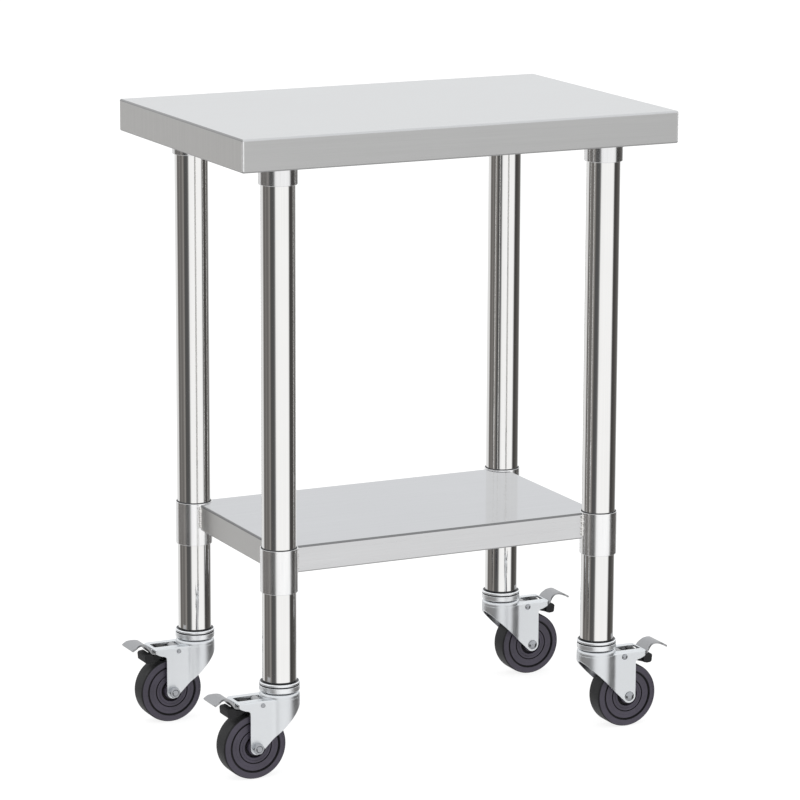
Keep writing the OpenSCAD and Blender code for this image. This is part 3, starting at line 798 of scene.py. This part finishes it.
def make_pedal_mesh():
    top = smooth([(5, 1.8), (13, -2.6), (24, -2.7), (30.4, -1.8), (34.6, 1.0), (39.2, 7.2), (45.4, 12.1), (52.4, 13.1), (59.2, 11.4), (66.2, 7.4)], 4)
    low = smooth([(64.6, 5.4), (58, 9), (52, 10.4), (46.5, 9.6), (41.5, 5.6), (37, -0.6), (32, -4.2), (25, -5.2), (13, -5.4), (0, -5.9)], 4)
    strip = prism("strip", top + low, -19, 19, "Y")
    cam = lathe("cam", [(0, -19), (6, -19), (6, 19), (0, 19)], 64, "Y")
    half = [(-8, 8), (33.2, 8), (34.9, 9.6), (35.2, 13.0), (36.4, 15.2), (38.4, 15.3)]
    half += [(t, min(18.4, 30 - math.sqrt(max(0.0, 16.6 ** 2 - (t - 47) ** 2)))) for t in (40, 41.5, 43, 44.5, 46, 47.5, 49, 50.5, 52, 53.5, 55, 56.5, 58, 59)]
    half += [(60.6, 18.4)] + arc(63.9, 15.9, 2.5, 90, 0, 5) + [(66.8, 12)]
    plan = prism("plan", half + [(x, -y) for x, y in reversed(half)], -20, 30)
    hole = lathe("hole", [(0, -40), (2.56, -40), (2.56, 40), (0, 40)], 32, "Y")
    seat = prism("seat", [(14.5, -5), (24.5, -5), (24.5, 5), (14.5, 5)], -20, 20)
    return combine(strip, ("UNION", cam), ("INTERSECT", plan), ("DIFFERENCE", hole), ("DIFFERENCE", seat))


def make_shoe_mesh():
    block = prism("block", fillet([(14.52, -4.98, 0.8), (24.48, -4.98, 0.8), (24.48, 4.98, 0.8), (14.52, 4.98, 0.8)]), -6.2, 5.1)
    pad = prism("pad", fillet([(13, -5.5, 0.4), (13, -7.1, 0.4), (34.6, -13.5, 0.2), (34.6, -5.5, 0.2)]), -10, 10, "Y")
    nose = prism("nose", fillet([(33, -13.1, 0.8), (38, -14.6, 2.0), (43.5, -14.2, 1.6), (45.2, -12.4, 1.2), (46, -4.4, 1.2), (44.4, -2.4, 1.0),
                                 (38.4, -1.4, 0.6), (36.2, -2.4, 0.6), (33, -4.9, 0.8)]), -13, 13, "Y")
    return combine(block, ("UNION", pad), ("UNION", nose))


def make_bolt_mesh():
    y0 = -HALF_OUT
    dome = [(0, y0 - 4.4)] + [(7 * math.sin(math.radians(a)), y0 + 2.6 - 7 * math.cos(math.radians(a))) for a in range(6, 64, 6)]
    prof = dome + [(6.5, y0 - 0.9), (6.3, y0 - 0.55), (4.7, y0 - 0.5), (4.4, y0 - 0.02), (4.0, y0)]
    prof += [(4.0, 21.0)]
    p = 21.2
    while p < HALF_OUT + 6.4:
        prof += [(4.0, p), (3.45, p + 0.6), (4.0, p + 1.2)]
        p += 1.25
    prof += [(3.9, HALF_OUT + 7.3), (3.3, HALF_OUT + 8), (0, HALF_OUT + 8)]
    return lathe("bolt", prof, 72, "Y", origin=(TRAIL, 0, WR))


def make_nut_mesh():
    y0 = HALF_OUT
    hexa = [(7.5 * math.cos(PI / 3 * k), 7.5 * math.sin(PI / 3 * k)) for k in range(6)]
    body = prism("hex", [(TRAIL + x, WR + z) for x, z in hexa], y0 + 0.02, y0 + 6.5, "Y")
    cone = lathe("cone", [(0, y0 - 1), (6.9, y0 - 0.4), (7.55, y0 + 0.7), (7.55, y0 + 5.6), (6.2, y0 + 6.5), (5.4, y0 + 6.7), (0, y0 + 6.7)], 72, "Y", origin=(TRAIL, 0, WR))
    hole = lathe("hole", [(0, y0 - 5), (4.02, y0 - 5), (4.02, y0 + 5.9), (4.7, y0 + 6.6), (4.7, y0 + 9), (0, y0 + 9)], 48, "Y", origin=(TRAIL, 0, WR))
    return combine(body, ("INTERSECT", cone), ("DIFFERENCE", hole))


def make_pin_mesh():
    y0 = -HALF_OUT
    dome = [(0, y0 - 2.2)] + [(4.8 * math.sin(math.radians(a)), y0 + 2.6 - 4.8 * math.cos(math.radians(a))) for a in (10, 20, 30, 40, 50)]
    prof = dome + [(4.0, y0 - 0.6), (3.9, y0 - 0.45), (2.9, y0 - 0.4), (2.8, y0 - 0.02), (2.5, y0), (2.5, HALF_OUT), (3.0, HALF_OUT), (3.1, HALF_OUT + 0.3), (2.9, HALF_OUT + 0.9), (2.3, HALF_OUT + 1.2), (0, HALF_OUT + 1.2)]
    return lathe("pin", prof, 48, "Y", origin=(PIN_X, 0, PIN_Z))


def make_casters():
    fork, stem, tyre, core = make_fork_mesh(), make_stem_mesh(), make_tyre_mesh(), make_core_mesh()
    pedal, shoe, bolt, nut, pin = make_pedal_mesh(), make_shoe_mesh(), make_bolt_mesh(), make_nut_mesh(), make_pin_mesh()
    for c, (sx, sy) in CORNERS.items():
        place = Matrix.Translation((sx * LX * 0.001, sy * LY * 0.001, 0))
        if sx < 0:
            place = place @ Matrix.Rotation(PI, 4, "Z")
        at_pin = place @ Matrix.Translation((PIN_X * 0.001, 0, PIN_Z * 0.001))
        turn, wheel, brake = "caster_" + c, "wheel_" + c, "brake_" + c
        piece("bearing_cup_" + c, stem.copy(), ["cup_zinc", "gap_shade"], "table", ["caster_stem_" + c], place)
        piece("yoke_" + c, fork.copy(), ["zinc"], turn, ["fork_" + c], place, bevel=0.35, angle=38)
        piece("bolt_" + c, bolt.copy(), ["fastener"], turn, ["axle_bolt_" + c], place)
        piece("nut_" + c, nut.copy(), ["fastener"], turn, ["axle_nut_" + c], place)
        piece("pin_" + c, pin.copy(), ["fastener"], turn, ["pedal_pin_" + c], place)
        piece("tread_" + c, tyre.copy(), ["wheel_face", "tread"], wheel, ["tyre_" + c], place)
        piece("hub_" + c, core.copy(), ["wheel_face", "wheel_recess_shade"], wheel, ["wheel_core_" + c], place)
        piece("foot_pedal_" + c, pedal.copy(), ["pedal_face"], brake, ["pedal_" + c], at_pin, bevel=0.4, angle=38)
        piece("shoe_" + c, shoe.copy(), ["shoe"], brake, ["brake_shoe_" + c], at_pin, bevel=0.3, angle=38)


make_top()
make_channels()
make_legs()
make_shelf()
make_casters()

# carried-over CAD nodes
for node_name, mat in [("socket_set_screws", "plain_steel"), ("collar_set_screws", "plain_steel"), ("leg_inserts", "plain_steel"),
                       ("swivel_balls", "zinc_bright")] + [("axle_sleeve_" + c, "plain_steel") for c in CORNERS]:
    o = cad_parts[node_name]
    o.data.materials.clear()
    o.data.materials.append(MATS[mat])

# ------------------------------------------------------------------ camera

cam_data = bpy.data.cameras.new("camera")
cam = bpy.data.objects.new("camera", cam_data)
scene.collection.objects.link(cam)
scene.camera = cam
F_PX = 3902.97
az, el = math.radians(-25.9), math.radians(12.279)
look = Vector((-math.sin(az) * math.cos(el), math.cos(az) * math.cos(el), -math.sin(el)))
right = Vector((math.cos(az), math.sin(az), 0))
up = right.cross(look)
roll = math.radians(0.2123)
right, up = right * math.cos(roll) + up * math.sin(roll), up * math.cos(roll) - right * math.sin(roll)
aim = (look * F_PX + right * (400 - 398.022) - up * (400 - 398.708)).normalized()
side = aim.cross(up).normalized()
top = side.cross(aim)
rot = Matrix((side, top, -aim)).transposed().to_4x4()
cam.matrix_world = Matrix.Translation((-2.18481, -4.50665, 1.53113)) @ rot
cam_data.sensor_width = 36
cam_data.lens = F_PX / 800 * 36
cam_data.clip_start, cam_data.clip_end = 0.1, 60

# ------------------------------------------------------------------ floor and light

world = bpy.data.worlds.new("studio")
scene.world = world
world.use_nodes = True
wt = world.node_tree
wt.nodes.clear()


def wnode(kind, **props):
    n = wt.nodes.new(kind)
    for k, v in props.items():
        setattr(n, k, v)
    return n


def wmath(op, a, b=0.0, c=None):
    n = wnode("ShaderNodeMath", operation=op)
    for s, v in zip(n.inputs, (a, b, c)):
        if v is None:
            continue
        if isinstance(v, bpy.types.NodeSocket):
            wt.links.new(v, s)
        else:
            s.default_value = v
    return n.outputs[0]


direction = wnode("ShaderNodeTexCoord").outputs["Generated"]
sep = wnode("ShaderNodeSeparateXYZ")
wt.links.new(direction, sep.inputs[0])
dx, dy, dz = sep.outputs
psi = wmath("ARCTAN2", dx, wmath("MULTIPLY", dy, -1.0))
turn = wmath("FRACT", wmath("ADD", wmath("DIVIDE", wmath("ADD", psi, math.radians(25.86)), 2 * PI), 1.5))
ramp = wnode("ShaderNodeValToRGB")
wt.links.new(turn, ramp.inputs[0])
warm, cool = (1.05, 1.0, 0.955), (1.0, 1.0, 1.0)
STUDIO = [(-180, 0.82, cool), (-150, 0.80, cool), (-119, 0.72, cool), (-113, 0.26, warm), (-110, 0.13, warm), (-94, 0.15, warm),
          (-87, 0.20, warm), (-80, 0.135, warm), (-71, 0.145, warm), (-63, 0.20, warm), (-57, 0.28, warm), (-51, 0.10, warm),
          (-46, 0.082, cool), (-30, 0.085, cool), (-22, 0.17, cool), (-18, 0.45, cool), (-14, 0.90, cool), (0, 0.95, cool), (62, 0.95, cool),
          (72, 0.88, cool), (77, 0.30, cool), (82, 0.06, warm), (91, 0.055, warm), (100, 0.065, warm), (112, 0.085, warm), (133, 0.13, warm),
          (144, 0.26, cool), (150, 0.62, cool), (158, 0.82, cool), (180, 0.82, cool)]
els = ramp.color_ramp.elements
els[0].position, els[1].position = 0.0, 1.0
for k, (deg, lum, tone) in enumerate(STUDIO):
    pos = (deg + 180) / 360
    e = els[0] if k == 0 else (els[-1] if k == len(STUDIO) - 1 else els.new(pos))
    e.position = pos
    e.color = (lum * tone[0], lum * tone[1], lum * tone[2], 1)
high = wnode("ShaderNodeMapRange", interpolation_type="SMOOTHSTEP")
wt.links.new(dz, high.inputs[0])
high.inputs[1].default_value, high.inputs[2].default_value = 0.03, 0.16
low = wnode("ShaderNodeMapRange", interpolation_type="SMOOTHSTEP")
wt.links.new(dz, low.inputs[0])
low.inputs[1].default_value, low.inputs[2].default_value = -0.55, -0.85
mix1 = wnode("ShaderNodeMix", data_type="RGBA")
wt.links.new(high.outputs[0], mix1.inputs[0])
wt.links.new(ramp.outputs[0], mix1.inputs[6])
mix1.inputs[7].default_value = (0.98, 0.99, 1.0, 1)
mix2 = wnode("ShaderNodeMix", data_type="RGBA")
wt.links.new(low.outputs[0], mix2.inputs[0])
wt.links.new(mix1.outputs[2], mix2.inputs[6])
mix2.inputs[7].default_value = (0.72, 0.72, 0.73, 1)
path = wnode("ShaderNodeLightPath")
pattern = wnode("ShaderNodeBackground")
wt.links.new(mix2.outputs[2], pattern.inputs[0])
plain = wnode("ShaderNodeBackground")
plain.inputs[0].default_value = (1, 1, 1, 1)
plain.inputs[1].default_value = 1.06
both = wnode("ShaderNodeMixShader")
wt.links.new(path.outputs["Is Glossy Ray"], both.inputs[0])
wt.links.new(plain.outputs[0], both.inputs[1])
wt.links.new(pattern.outputs[0], both.inputs[2])
outw = wnode("ShaderNodeOutputWorld")
wt.links.new(both.outputs[0], outw.inputs[0])
world.cycles.sampling_method = "NONE"

floor_nodes = Nodes("floor_paint")
floor_nodes.finish(Base_Color=(0.25, 0.25, 0.25), Roughness=0.9, Emission_Color=(1, 1, 1), Emission_Strength=0.84)
floor_nodes.bsdf.inputs["Specular IOR Level"].default_value = 0.0
me = bpy.data.meshes.new("floor")
me.from_pydata([(-14, -14, 0), (14, -14, 0), (14, 14, 0), (-14, 14, 0)], [], [(0, 1, 2, 3)])
me.materials.append(MATS["floor_paint"])
floor = bpy.data.objects.new("floor", me)
scene.collection.objects.link(floor)
floor.visible_glossy = False

light_data = bpy.data.lights.new("softbox", "AREA")
light_data.shape, light_data.size, light_data.size_y, light_data.energy = "RECTANGLE", 3.0, 3.0, 22
light = bpy.data.objects.new("softbox", light_data)
light.matrix_world = Matrix.Translation((-0.9, -1.2, 3.2)) @ Vector((0.9, 1.2, -2.8)).to_track_quat("-Z", "Y").to_matrix().to_4x4()
scene.collection.objects.link(light)
light.visible_glossy = False

bpy.context.view_layer.update()
